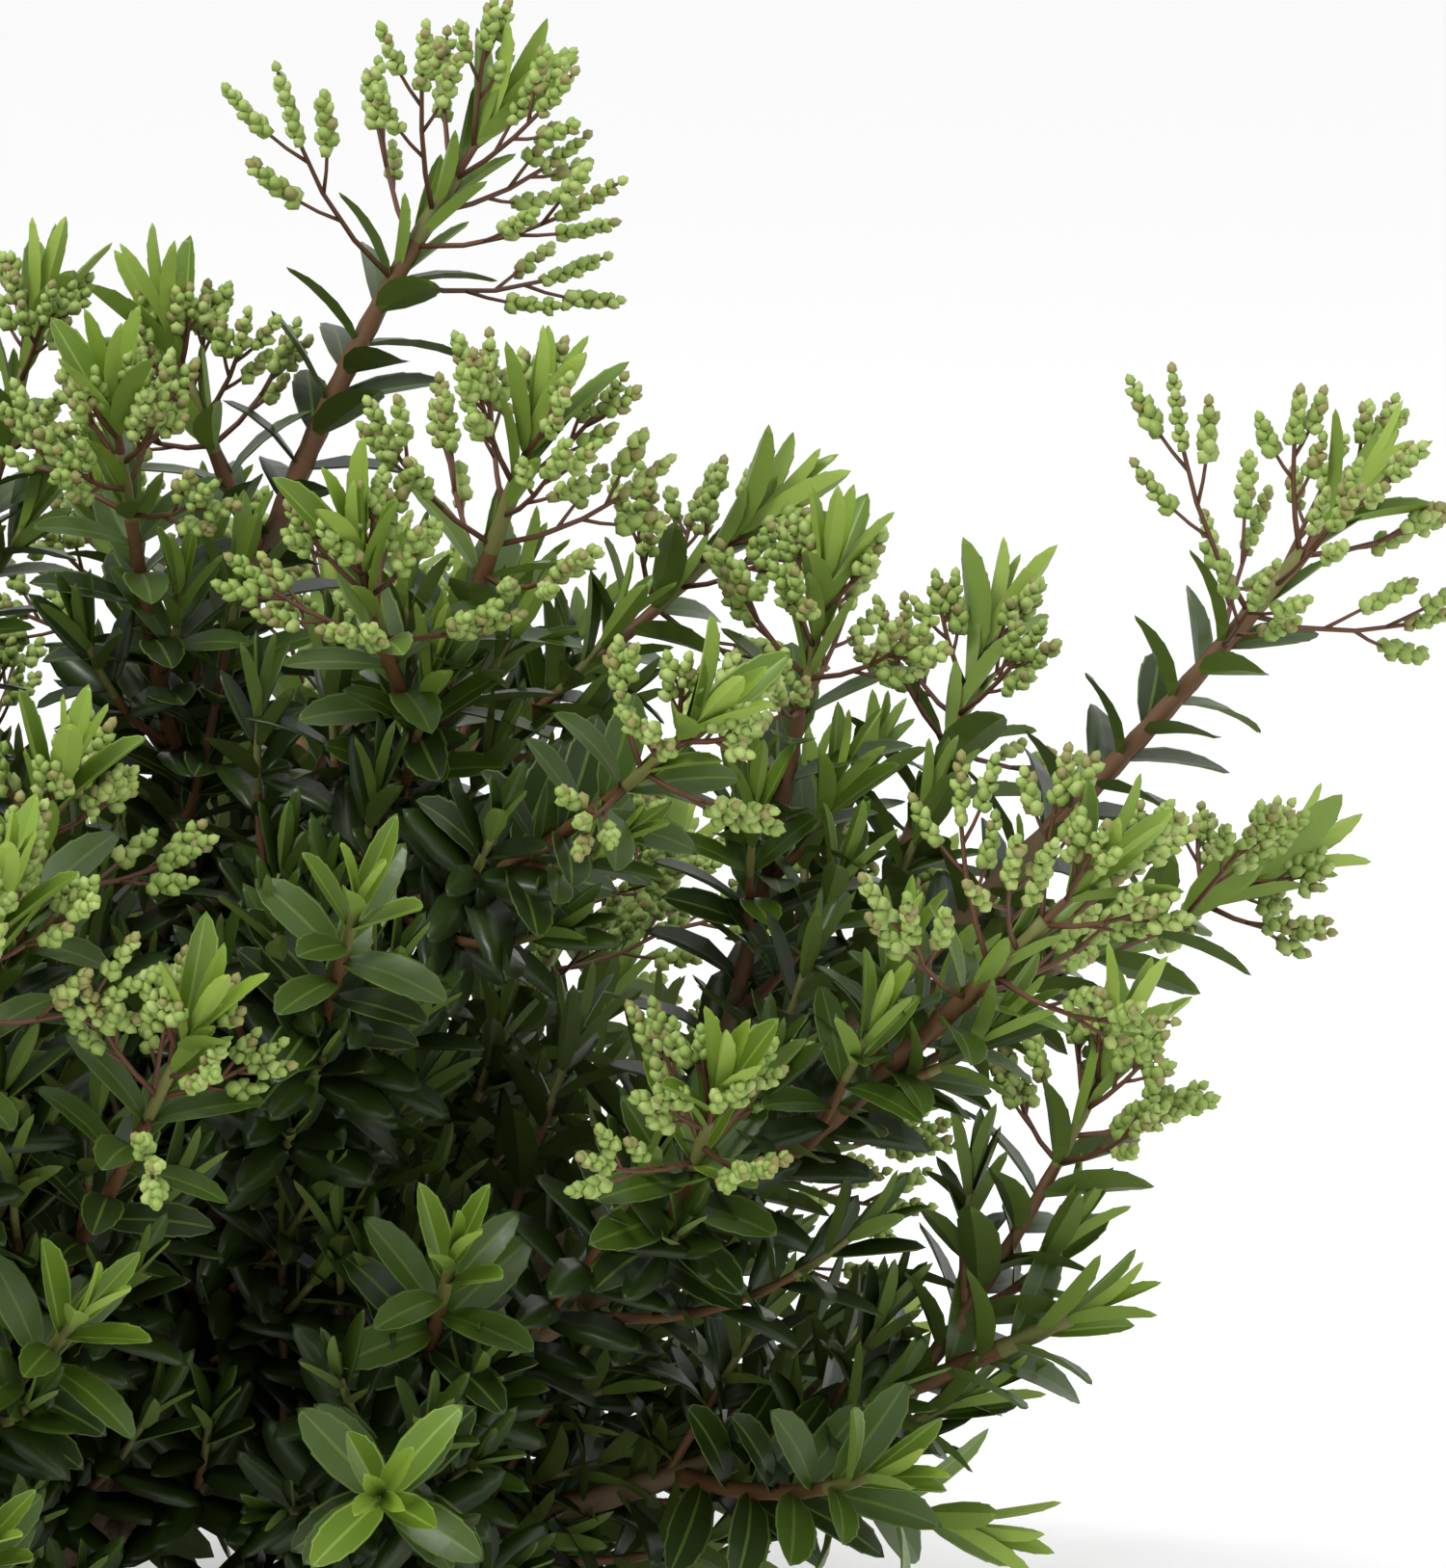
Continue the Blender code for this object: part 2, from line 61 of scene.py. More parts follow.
# The woody stem: height and radius of each ring, from the root flare to its tip.
STEM_RINGS_MM = ((0, 10.5), (3, 9.0), (8, 7.9), (16, 7.3), (30, 6.7), (46, 5.8), (58, 4.6))
STEM_UPRIGHT = 8 * MM
STEM_LEAN = 0.10

# Where the crown fans out from, and how far shoots reach from there at the ground, at the shoulder
# and at the top of the dome.
CROWN_CENTRE = Vector((0.0, 0.0, 30 * MM))
GROUND_REACH = 135 * MM
SHOULDER_REACH = 198 * MM
SHOULDER_ELEVATION = 30.0
TOP_REACH = 178 * MM

# The masses of foliage, ring by ring: elevation, number, and the bearing of the first.
MASS_RINGS = {"top": (84, 1, 5), "upper": (56, 4, -38), "middle": (33, 6, -32), "lower": (10, 5, -16)}
SETTLING_ROUNDS = 3

# Where each bough leaves the stem: the steeper it is, the higher, give or take a step that keeps
# it clear of its neighbours.
TOP_START, HIGHEST_START = 58 * MM, 41 * MM
START_BASE, START_PER_DEGREE = 8.5 * MM, 0.6 * MM
START_STEPS = (0.0, 1.5 * MM, -1.5 * MM, 3 * MM, -3 * MM, 4.5 * MM, -4.5 * MM)
BOUGH_CLEARANCE = 0.6 * MM
TOP_BOUGH_RADIUS, STEEP_BOUGH_RADIUS, LOW_BOUGH_RADIUS = 3.8 * MM, 2.6 * MM, 2.5 * MM

# Shoots of the side that faces the viewer and the right: bearing and elevation in degrees, reach in
# millimetres, and the size of the bud cluster at the tip, 0 for none and 1 for the largest.
FRONT_SHOOTS = (
    (5, 74, 221, 1.0),  # the crest, highest of all
    (-38, 62, 192, 0.85),
    (-45, 45, 188, 0.65),
    (-17, 50, 189, 0.7),
    (-28, 32, 200, 0.95),  # the broad front cluster
    (-4, 39, 247, 1.0),  # the far right arm
    (8, 28, 210, 0.6),
    (-7, 24, 175, 0.6),
    (-13, 14, 164, 0),
    (-26, 8, 140, 0),
    (-14, 3, 142, 0),
    (-42, 30, 155, 0.6),
    (-54, 28, 119, 0),
    (-92, 41, 160, 0.85),
    (-79, 37, 148, 0.6),
    (108, 82, 183, 0.7),
    (-73, 78, 176, 0.6),
    (0, 84, 182, 0.6),
    (-55, 61, 177, 0.6),
    (11, 56, 183, 0.65),
    (14, 42, 196, 0.65),
    (-88, 51, 157, 0.6),
    (-65, 44, 160, 0),
    (-93, 9, 118, 0),
    (-86, 24, 128, 0),
)

# The rest of the dome is filled by an even spiral of shoots.
SPIRAL_COUNT = 62
SPIRAL_LOWEST = 0.04
SPIRAL_CLEARANCE = math.radians(15)
REACH_SPREAD = (0.86, 1.02)
LONG_ARM_EVERY = 9
LONG_ARM = 1.16
FRONT_FROM, FRONT_TO = -100.0, 60.0
FRONT_SHARE = 0.84
LOWEST_FLOWERING = math.radians(17)
CLUSTER_SIZES = (0.6, 0.95)

# Limbs are quadratic curves: low ones leave the stem nearly level and turn up, and steep ones rise
# first and lean out near the top.
LOW_BEND = (0.52, 0.28)
STEEP_BEND = (0.15, 0.60)
STEEP_FROM, STEEP_TO = 60.0, 74.0
BENDS = (1.0, 0.8, 0.6, 0.4, 0.2, 0.0)
CURVE_STEPS, BOUGH_STEPS = 40, 6
BOUGH_LENGTH = 56 * MM
TOP_BOUGH_LENGTH = 62 * MM
BOUGH_TIP_RADIUS = 2.3 * MM
LEADER_TIP_RADIUS = 1.3 * MM
JOINT_GAP = 0.3 * MM

# Side shoots leave their leader at this angle.
BRANCH_ANGLE = math.radians(42)
SIDE_SAG = 0.22
SIDE_PULLS = (0.0, 0.12, 0.24, 0.36)
SIDE_STEPS = 16
SIDE_RADIUS = 1.5 * MM
SIDE_TIP_RADIUS = 0.9 * MM

# Margins from the ground and from the next mass.
GROUND_MARGIN = 1.0 * MM
MASS_MARGIN = 0.3 * MM

# Camera: where the photo's middle falls in the plant's frame, and the height it takes in.
VIEW_MIDDLE = Vector((0.102, 0.0, 0.148))
VIEW_HEIGHT = 0.244
VIEW_ELEVATION = math.radians(6)
VIEW_DISTANCE = 1.6
SENSOR = 36.0

# Leaf outline: share of the half width at shares of the length, with two small teeth a side.
OUTLINE_AT = (0, 0.06, 0.16, 0.30, 0.45, 0.60, 0.70, 0.715, 0.83, 0.845, 0.93, 1)
OUTLINE = (0.1, 0.26, 0.60, 0.89, 1, 1, 0.97, 0.89, 0.80, 0.70, 0.46, 0)
NEAR_ROWS = (0.07, 0.24, 0.48, 0.70, 0.715, 0.83, 0.845, 0.94)
FAR_ROWS = (0.16, 0.45, 0.72, 0.90)
NEAR_RING = (1, 0.88, 0.08, -0.08, -0.88, -1, 0)
FAR_RING = (1, 0, -1, 0)
NEAR_WITHIN = 48 * MM

# Leaf pairs counted from a shoot's tip: length and width, spread from the shoot, gap to the next.
PAIR_SIZES_MM = ((16.5, 3.0), (18.5, 3.9), (18.5, 5.0), (19, 6.2), (19.5, 7.2))
PAIR_SPREADS = (8, 20, 32, 43, 52)
PAIR_GAPS_MM = (2.6, 3.6, 4.4, 5.0, 5.6)
LATERAL_SHARE = 0.84
FIRST_FALLEN, ALL_OLD, MOST_FALLEN = 12, 26, 0.4
LEAFY_LEADER = 170 * MM
LEAF_UPLIFT = 0.25
SPREAD_JITTER = (-4, 7)
GAP_SPREAD = (0.9, 1.15)
PAIR_TURN = 0.16
STEEP_SLOPE, LEVEL_TURN = 0.8, 0.26
FIRST_PAIR_FLOWERING = 3

# Laterals: their places from the tip of the shoot that bears them, and their share of that length.
LATERAL_PLACES_MM = (40, 54, 69, 85, 102, 121, 142)
LATERAL_LENGTHS = (0.42, 0.54)
LATERAL_ANGLE = math.radians(40)
LATERAL_RADII = (0.9 * MM, 0.6 * MM)
RANK_RADII = (
    (BOUGH_TIP_RADIUS, LEADER_TIP_RADIUS), (SIDE_RADIUS, SIDE_TIP_RADIUS), LATERAL_RADII,
)
LATERAL_CLEAR_OF_GROUND = 14 * MM
# Laterals whose tips lie within this share of the dome's reach are inner: their leaves are coarser and
# painted darker, as painted shade.
INNER_SHARE = 0.82
LATERALS_MISSING = 0.2
BOUGH_SHOOT_PLACES_MM = (20, 27, 34, 41, 48, 54)
BOUGH_SHOOT_LENGTHS_MM = (34, 58)
LATERAL_OUT, LATERAL_ON, LATERAL_UP = 0.7, 0.2, 0.25
BOUGH_SHOOT_OUT, BOUGH_SHOOT_UP = 0.8, 0.3
WIDEST_REACH = 0.97
LATERAL_PLACE_SPREAD = (0.94, 1.06)

# Bud clusters, scaled by each shoot's cluster size.
CLUSTER_BELOW = 20 * MM
CLUSTER_ABOVE = 6 * MM
RACEME_LENGTH = 42 * MM
RACEME_ANGLES = (80, 38)
RACEME_SHARES = (1.0, 0.52)
BUDS_FROM = 0.70
SPUR_BUDS_FROM = 0.44
BUD_GAPS_MM = (1.9, 1.2)
BUD_LENGTHS_MM = (3.5, 2.2)
BUD_WIDTH = 0.78
BUD_ANGLE = math.radians(36)
BUD_SIDES = 5
SPUR_SHARES = (0.34, 0.48, 0.62)
SPUR_LENGTH = 0.40
CLUSTER_LEAF_SHARE = 0.5
CLUSTER_TIP_PAIRS, CLUSTER_TIP_SHARE = 3, 1.1
BRACT_SHARE = 0.85
RACEME_OUT, RACEME_ON, RACEME_UP = 0.8, 0.2, 0.12
RACEME_LENGTH_SPREAD = (0.88, 1.08)
BUD_SIZE_SPREAD, BUD_LEAN_SPREAD = (0.9, 1.1), (0.75, 1.25)
BUD_RINGS = ((0.3, 0.5), (0.7, 0.42))
BROWN_LEAST, BROWN_RISE = 0.03, 0.3
PALE_SHARES = (0.1, 0.6)

# Colours, which a spray's leaves take by their place from its tip; shoots inside the crown and laterals
# take darker ones, as painted shade.
LEAF_TINTS = {
    "tip": ((0.19, 0.29, 0.03), (0.25, 0.35, 0.055)),
    "young": ((0.10, 0.17, 0.014), (0.15, 0.23, 0.03)),
    "mid": ((0.038, 0.072, 0.006), (0.09, 0.14, 0.02)),
    "dark": ((0.018, 0.034, 0.004), (0.065, 0.10, 0.015)),
}
TINT_FROM_PAIR = (0, 0, 1, 1, 2, 2, 2, 3)
SHINE = 0.36
RIB_COLOURS = ((0.18, 0.27, 0.04), (0.075, 0.12, 0.018))
TWIG_COLOURS = ((0.13, 0.13, 0.035), (0.115, 0.056, 0.021), (0.12, 0.08, 0.036))
TWIG_GREEN, TWIG_RED = 11 * MM, 60 * MM
STALK_COLOUR = (0.10, 0.042, 0.02)
BUD_COLOURS = ((0.23, 0.32, 0.07), (0.31, 0.39, 0.11), (0.23, 0.22, 0.07))
BARK_COLOURS = ((0.12, 0.075, 0.045), (0.26, 0.18, 0.11))

# Twigs, limbs and stalks: sides, steps along them, and the relief of bark and leaf scars.
TRUNK_SIDES, TRUNK_STEPS = 28, 40
LIMB_SIDES, LIMB_STEPS = 16, 36
LEADER_STEPS, LATERAL_STEPS, RACEME_STEPS, AXIS_STEPS = 40, 10, 4, 5
TWIG_SIDES, STALK_SIDES, TWIG_STEP = 6, 5, 3 * MM
SCAR_SWELLS = (0.97, 1.1)
RELIEF, RELIEF_SCALE = 0.12, 260
FLARE, FLARE_LENGTH = 0.5, 5 * MM
STALK_RADII = (0.5 * MM, 0.3 * MM)
AXIS_RADII = (1.0 * MM, 0.55 * MM)
SPUR_THINNER = 0.7

# Leaf shape: young leaves are folded and nearly straight, old ones flatter and curved back.
YOUNG_PAIRS = 3
LEAF_THICKNESS = 0.42 * MM
LEAF_ROLL = 0.26
SIZE_SPREAD = (0.88, 1.06)
YOUNG_CURL, OLD_CURL = (-0.12, 0.22), (0.25, 0.75)
YOUNG_FOLD, OLD_FOLD = (22, 34), (8, 16)
STRAIGHTEST = 0.01
RIB_YOUNG, RIB_OLD = 8, 9

# Lamps: place, size and power.
LAMPS = {
    "key": ((-0.9, -1.3, 2.0), 0.8, 38),
    "fill": ((1.6, -1.0, 0.9), 1.4, 5),
}
LAMP_AIM = Vector((0, 0, 0.12))
FLOOR_SIZE = 60
FLOOR_COLOUR = (0.95, 0.95, 0.95)


def bearing(azimuth, elevation):
    """The unit direction at an azimuth from +X towards +Y and an elevation, both in radians."""
    level = math.cos(elevation)
    return Vector((level * math.cos(azimuth), level * math.sin(azimuth), math.sin(elevation)))


def elevation_of(direction):
    return math.asin(max(-1.0, min(1.0, direction.normalized().z)))


def blend(a, b, share):
    return a + (b - a) * max(0.0, min(1.0, share))


def dome_reach(elevation):
    """How far the dome's shoots reach from the crown centre at an elevation in radians."""
    degrees = math.degrees(elevation)
    if degrees < SHOULDER_ELEVATION:
        rise = math.sin(math.pi / 2 * max(0.0, degrees) / SHOULDER_ELEVATION)
        return blend(GROUND_REACH, SHOULDER_REACH, rise)
    fall = ((degrees - SHOULDER_ELEVATION) / (90 - SHOULDER_ELEVATION)) ** 2
    return blend(SHOULDER_REACH, TOP_REACH, fall)


def front_shoots():
    """The shoots of the front and right side: tips from the crown centre, and sizes of cluster."""
    return [
        (bearing(math.radians(azimuth), math.radians(elevation)) * reach * MM, cluster)
        for azimuth, elevation, reach, cluster in FRONT_SHOOTS
    ]


def spiral_shoots(taken):
    """An even spiral of shoots over the dome, left out where a shoot already stands."""
    draw = random.Random(SEED)
    golden_angle = math.pi * (3 - math.sqrt(5))
    made = []
    for i in range(SPIRAL_COUNT):
        elevation = math.asin(blend(SPIRAL_LOWEST, 1.0, (i + 0.5) / SPIRAL_COUNT))
        direction = bearing(i * golden_angle, elevation)
        share = draw.uniform(*REACH_SPREAD)
        if any(direction.angle(tip) < SPIRAL_CLEARANCE for tip, _ in taken):
            continue
        if FRONT_FROM < math.degrees(math.atan2(direction.y, direction.x)) < FRONT_TO:
            share *= FRONT_SHARE
        elif len(made) % LONG_ARM_EVERY == LONG_ARM_EVERY // 2:
            share = LONG_ARM
        cluster = draw.uniform(*CLUSTER_SIZES) if elevation > LOWEST_FLOWERING else 0
        made.append((direction * dome_reach(elevation) * share, cluster))
    return made


def mass_directions(tips):
    """One direction for each mass: that of the leading shoot among those nearest to its place."""
    names, directions = [], []
    for ring, (elevation, count, first) in MASS_RINGS.items():
        for k in range(count):
            names.append((ring, k + 1))
            azimuth = math.radians(first + 360 * k / count)
            directions.append(bearing(azimuth, math.radians(elevation)))
    for _ in range(SETTLING_ROUNDS):
        groups = grouped(tips, directions)
        directions = [
            sum((tips[i].normalized() for i in group), Vector()).normalized() if group else old
            for group, old in zip(groups, directions)
        ]
    groups = grouped(tips, directions)
    leaders = [leader_of(group, tips, own) for group, own in zip(groups, directions)]
    return names, [tips[i].normalized() for i in leaders]


def leader_of(group, tips, direction):
    """The shoot that the mass's stem becomes: long, and near the middle of the mass."""
    return max(group, key=lambda i: tips[i].dot(direction) ** 3 / tips[i].length ** 2)


def grouped(tips, directions):
    """For each direction, the indices of the tips that it is nearest to."""
    groups = [[] for _ in directions]
    for i, tip in enumerate(tips):
        best = max(range(len(directions)), key=lambda k: tip.dot(directions[k]))
        groups[best].append(i)
    return groups


class Cone:
    """The space of one mass: the points whose direction from the crown centre is nearest to its own."""

    def __init__(self, own, others):
        self.walls = [(own - other).normalized() for other in others]

    def holds(self, points, margin):
        return all(
            (point - CROWN_CENTRE).dot(wall) > margin for wall in self.walls for point in points
        )


def quadratic(start, control, end, steps):
    return [
        start * (1 - t) ** 2 + control * 2 * t * (1 - t) + end * t**2
        for t in (k / steps for k in range(steps + 1))
    ]


def stem_axis(height):
    """The middle of the woody stem at a height: upright at the root flare, then leaning right."""
    risen = max(0.0, height - STEM_UPRIGHT)
    return Vector((STEM_LEAN * risen**2 / (STEM_RINGS_MM[-1][0] * MM), 0.0, height))


def limb_path(ring, tip, step, cone):
    """The curve of a bough and its leader: as bent as the leader's cone allows."""
    degrees = math.degrees(elevation_of(tip))
    height = min(START_BASE + START_PER_DEGREE * degrees, HIGHEST_START) + step
    start = stem_axis(TOP_START if ring == "top" else height)
    end = CROWN_CENTRE + tip
    steepness = (degrees - STEEP_FROM) / (STEEP_TO - STEEP_FROM)
    out = blend(LOW_BEND[0], STEEP_BEND[0], steepness)
    up = blend(LOW_BEND[1], STEEP_BEND[1], steepness)
    span = end - start
    for bend in BENDS:
        control = Vector((span.x * blend(0.5, out, bend), span.y * blend(0.5, out, bend), 0.0))
        control += UP * span.z * blend(0.5, up, bend)
        path = quadratic(start, start + control, end, CURVE_STEPS)
        leafy = [point for point in path if (point - start).length > BOUGH_LENGTH]
        if cone.holds(leafy, BOUGH_TIP_RADIUS + MASS_MARGIN):
            return path
    return path


def lengths_along(path):
    total = [0.0]
    for a, b in zip(path, path[1:]):
        total.append(total[-1] + (b - a).length)
    return total


def point_at(path, distance):
    """The point and the direction at a distance along a path."""
    along = lengths_along(path)
    for k in range(len(path) - 1):
        if distance <= along[k + 1] or k == len(path) - 2:
            share = (distance - along[k]) / (along[k + 1] - along[k])
            return path[k].lerp(path[k + 1], share), (path[k + 1] - path[k]).normalized()


def stretch(path, start, end, steps):
    """The part of a path between two distances, as evenly spaced points."""
    return [point_at(path, start + (end - start) * k / steps)[0] for k in range(steps + 1)]


def side_path(leader, tip, own, cone):
    """A side shoot: it leaves the leader at the branch angle and turns up to its tip.

    A tip at the edge of the cone is drawn in towards the cone's middle until the shoot fits.
    """
    length = lengths_along(leader)[-1]
    for pull in SIDE_PULLS:
        end = CROWN_CENTRE + tip.lerp(own * tip.length, pull)
        bases = [point_at(leader, length * k / 20) for k in range(1, 16)]
        base = min(bases, key=lambda at: abs((end - at[0]).angle(at[1]) - BRANCH_ANGLE))[0]
        for sag in (SIDE_SAG, 0.0):
            control = base.lerp(end, 0.5) - UP * sag * (end - base).length * 0.5
            path = quadratic(base, control, end, SIDE_STEPS)
            if cone.holds(path[1:], SIDE_RADIUS):
                return path
    return path


def gap_to(point, limb):
    """The distance from a point to a limb's surface, less than nothing inside it."""
    path, radii = limb
    gaps = []
    for a, b, radius in zip(path, path[1:], radii):
        edge = b - a
        share = max(0.0, min(1.0, (point - a).dot(edge) / edge.length_squared))
        gaps.append((point - a - edge * share).length - radius)
    return min(gaps)


def sideways(direction):
    """Two unit vectors square to a direction, one of them as upright as can be."""
    level = direction.cross(UP)
    if level.length < 0.05:
        level = Vector((0.0, 1.0, 0.0)).cross(direction)
    level.normalize()
    return level.cross(direction).normalized(), level


def bough_radius(ring):
    """The radius at which a bough of a ring leaves the stem."""
    if ring == "top":
        return TOP_BOUGH_RADIUS
    return STEEP_BOUGH_RADIUS if ring == "upper" else LOW_BOUGH_RADIUS


def crown_plan():
    """Every mass with its cone and the shoots it carries, the leading shoot first."""
    shoots = front_shoots()
    shoots += spiral_shoots(shoots)
    tips = [tip for tip, _ in shoots]
    names, directions = mass_directions(tips)
    plan = []
    for name, own, group in zip(names, directions, grouped(tips, directions)):
        cone = Cone(own, [other for other in directions if other is not own])
        group.sort(key=lambda i: -tips[i].normalized().dot(own))
        plan.append((*name, own, cone, [shoots[i] for i in group]))
    return plan


def clearance(path, limbs):
    """How far a bough's middle stays from the boughs made before, outside the woody stem."""
    outside = [point for point in path if gap_to(point, limbs[0]) > -JOINT_GAP]
    return min((gap_to(point, limb) for point in outside for limb in limbs[1:]), default=1.0)


def fitted_limb(ring, tip, cone, limbs):
    """A limb's path, clear of the boughs made before, and how much of it is bough."""
    length = TOP_BOUGH_LENGTH if ring == "top" else BOUGH_LENGTH
    best, path = None, None
    for step in START_STEPS:
        tried = limb_path(ring, tip, step, cone)
        room = clearance(stretch(tried, 0.0, length, CURVE_STEPS), limbs)
        if best is None or room > best:
            best, path = room, tried
        if room > bough_radius(ring) + BOUGH_CLEARANCE:
            break
    return path, length


def finish(name, colour, roughness, grain, depth, second=None):
    """A material with fine unevenness in gloss and surface, and in colour where two are given."""
    made = bpy.data.materials.new(name)
    made.use_nodes = True
    nodes, links = made.node_tree.nodes, made.node_tree.links
    shader = nodes["Principled BSDF"]
    shader.inputs["Base Color"].default_value = (*colour, 1)
    shader.inputs["Specular IOR Level"].default_value = SHINE
    place = nodes.new("ShaderNodeTexCoord")
    grains = nodes.new("ShaderNodeTexNoise")
    grains.inputs["Scale"].default_value = grain
    grains.inputs["Detail"].default_value = 4
    links.new(place.outputs["Object"], grains.inputs["Vector"])
    gloss = nodes.new("ShaderNodeMapRange")
    gloss.inputs["To Min"].default_value = roughness - 0.08
    gloss.inputs["To Max"].default_value = roughness + 0.08
    links.new(grains.outputs["Fac"], gloss.inputs["Value"])
    links.new(gloss.outputs["Result"], shader.inputs["Roughness"])
    bump = nodes.new("ShaderNodeBump")
    bump.inputs["Distance"].default_value = depth
    bump.inputs["Strength"].default_value = 0.6
    links.new(grains.outputs["Fac"], bump.inputs["Height"])
    links.new(bump.outputs["Normal"], shader.inputs["Normal"])
    if second:
        ramp = nodes.new("ShaderNodeValToRGB")
        ramp.color_ramp.elements[0].position = 0.35
        ramp.color_ramp.elements[0].color = (*colour, 1)
        ramp.color_ramp.elements[1].position = 0.65
        ramp.color_ramp.elements[1].color = (*second, 1)
        links.new(grains.outputs["Fac"], ramp.inputs["Fac"])
        links.new(ramp.outputs["Color"], shader.inputs["Base Color"])
    return made


def skin(rows, sides):
    """The faces of a closed skin, a point, rings and a point, with each face's row and column."""
    corners, sizes, places = [], [], []
    last = rows * sides + 1
    for row in range(rows + 1):
        low = 1 + (row - 1) * sides
        high = low + sides
        for a in range(sides):
            b = (a + 1) % sides
            face = (low + a, low + b, high + b, high + a)
            if row == 0:
                face = (0, high + b, high + a)
            elif row == rows:
                face = (last, low + a, low + b)
            corners += face
            sizes.append(len(face))
            places.append((row, a))
    return np.array(corners), np.array(sizes), np.array(places)


class Pile:
    """The faces of one piece, gathered until its mesh is made."""

    def __init__(self):
        self.points, self.corners, self.sizes, self.paints = [], [], [], []
        self.smooth = []
        self.count = 0

    def add(self, points, corners, sizes, paints, flat=None):
        """Adds faces; flat ones keep a crisp edge towards their smooth neighbours."""
        self.points.append(points)
        self.corners.append(corners + self.count)
        self.sizes.append(sizes)
        self.paints.append(paints)
        self.smooth.append(np.ones(len(sizes), dtype=bool) if flat is None else ~flat)
        self.count += len(points)

    def piece(self, name, paints, slot, nodes):
        """The joined mesh, in place of the nodes that it is a finer form of."""
        sizes = np.concatenate(self.sizes).astype(np.int32)
        corners = np.concatenate(self.corners).astype(np.int32)
        mesh = bpy.data.meshes.new(name)
        mesh.vertices.add(self.count)
        mesh.vertices.foreach_set("co", np.concatenate(self.points).astype(np.float32).ravel())
        mesh.loops.add(len(corners))
        mesh.loops.foreach_set("vertex_index", corners)
        mesh.polygons.add(len(sizes))
        mesh.polygons.foreach_set("loop_start", (np.cumsum(sizes) - sizes).astype(np.int32))
        mesh.polygons.foreach_set("material_index", np.concatenate(self.paints).astype(np.int32))
        mesh.polygons.foreach_set("use_smooth", np.concatenate(self.smooth))
        for paint in paints:
            mesh.materials.append(paint)
        mesh.update(calc_edges=True)
        mesh.validate()
        made = bpy.data.objects.new(name, mesh)
        bpy.context.scene.collection.objects.link(made)
        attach(made, "root")
        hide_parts(*nodes)
        return made


SKINS = {}


def tube(pile, path, radii, sides, paints, relief=0.0):
    """A round limb along a path, closed at both ends, with one paint for each stretch."""
    key = (len(path), sides)
    if key not in SKINS:
        SKINS[key] = skin(*key)
    corners, sizes, places = SKINS[key]
    points = [path[0]]
    normal = None
    for k, (point, radius) in enumerate(zip(path, radii)):
        along = (path[min(k + 1, len(path) - 1)] - path[max(k - 1, 0)]).normalized()
        if normal is None:
            normal = sideways(along)[0]
        normal = (normal - along * normal.dot(along)).normalized()
        across = along.cross(normal)
        for s in range(sides):
            turn = 2 * math.pi * s / sides
            ray = normal * math.cos(turn) + across * math.sin(turn)
            swell = 1 + relief * noise.noise((point + ray * radius) * RELIEF_SCALE) if relief else 1
            points.append(point + ray * radius * swell)
    points.append(path[-1])
    rows = np.clip(places[:, 0] - 1, 0, len(paints) - 1)
    pile.add(np.array(points), corners, sizes, np.array(paints)[rows])


class Blade:
    """A leaf of one fineness, laid out along X with its upper side up."""

    def __init__(self, rows, ring):
        self.corners, self.sizes, places = skin(len(rows), len(ring))
        self.at = np.concatenate(([0], np.repeat(rows, len(ring)), [1]))
        width = np.interp(self.at, OUTLINE_AT, OUTLINE)
        self.across = np.concatenate(([0], np.tile(ring, len(rows)), [0])) * width
        keel = [0.0] * (len(ring) - 1) + [1.0]
        self.keel = np.concatenate(([0], np.tile(keel, len(rows)), [0]))
        column = places[:, 1]
        self.under = column >= len(ring) - 2
        fine = len(ring) == len(NEAR_RING)
        self.pale = fine & np.isin(column, (0, 2, 4))

    def lay(self, pile, root, axes, size, curl, fold, tint):
        """Adds one leaf: curved back along its length and folded up along its rib."""
        length, width, thickness = size
        x = length * np.sin(curl * self.at) / curl
        z = -length * (1 - np.cos(curl * self.at)) / curl
        y = self.across * width / 2
        z = z + np.abs(y) * math.tan(fold) - self.keel * thickness
        along, side, face = (np.array(axis) for axis in axes)
        points = np.array(root) + np.outer(x, along) + np.outer(y, side) + np.outer(z, face)
        if points[:, 2].min() < GROUND_MARGIN:
            return
        paints = np.full(len(self.sizes), tint * 2)
        paints[self.under] += 1
        paints[self.pale] = RIB_YOUNG if tint < 2 else RIB_OLD
        pile.add(points, self.corners, self.sizes, paints, self.under)


NEAR_BLADE = Blade(NEAR_ROWS, NEAR_RING)
FAR_BLADE = Blade(FAR_ROWS, FAR_RING)


class Shoot:
    """A leafy stem: its path, the size of its bud cluster, and its rank from the bough outward."""

    def __init__(self, path, cluster, rank, inner):
        self.path, self.cluster, self.rank, self.inner = path, cluster, rank, inner
        self.along = lengths_along(path)
        self.length = self.along[-1]

    def at(self, distance):
        """The point and the direction at a distance, straight on beyond the tip."""
        k = min(max(bisect.bisect(self.along, distance) - 1, 0), len(self.path) - 2)
        share = (distance - self.along[k]) / (self.along[k + 1] - self.along[k])
        direction = (self.path[k + 1] - self.path[k]).normalized()
        return self.path[k].lerp(self.path[k + 1], share), direction


def turned_side(direction, turn):
    """A unit vector square to a direction, turned about it from the upright one."""
    upright, level = sideways(direction)
    return upright * math.cos(turn) + level * math.sin(turn)


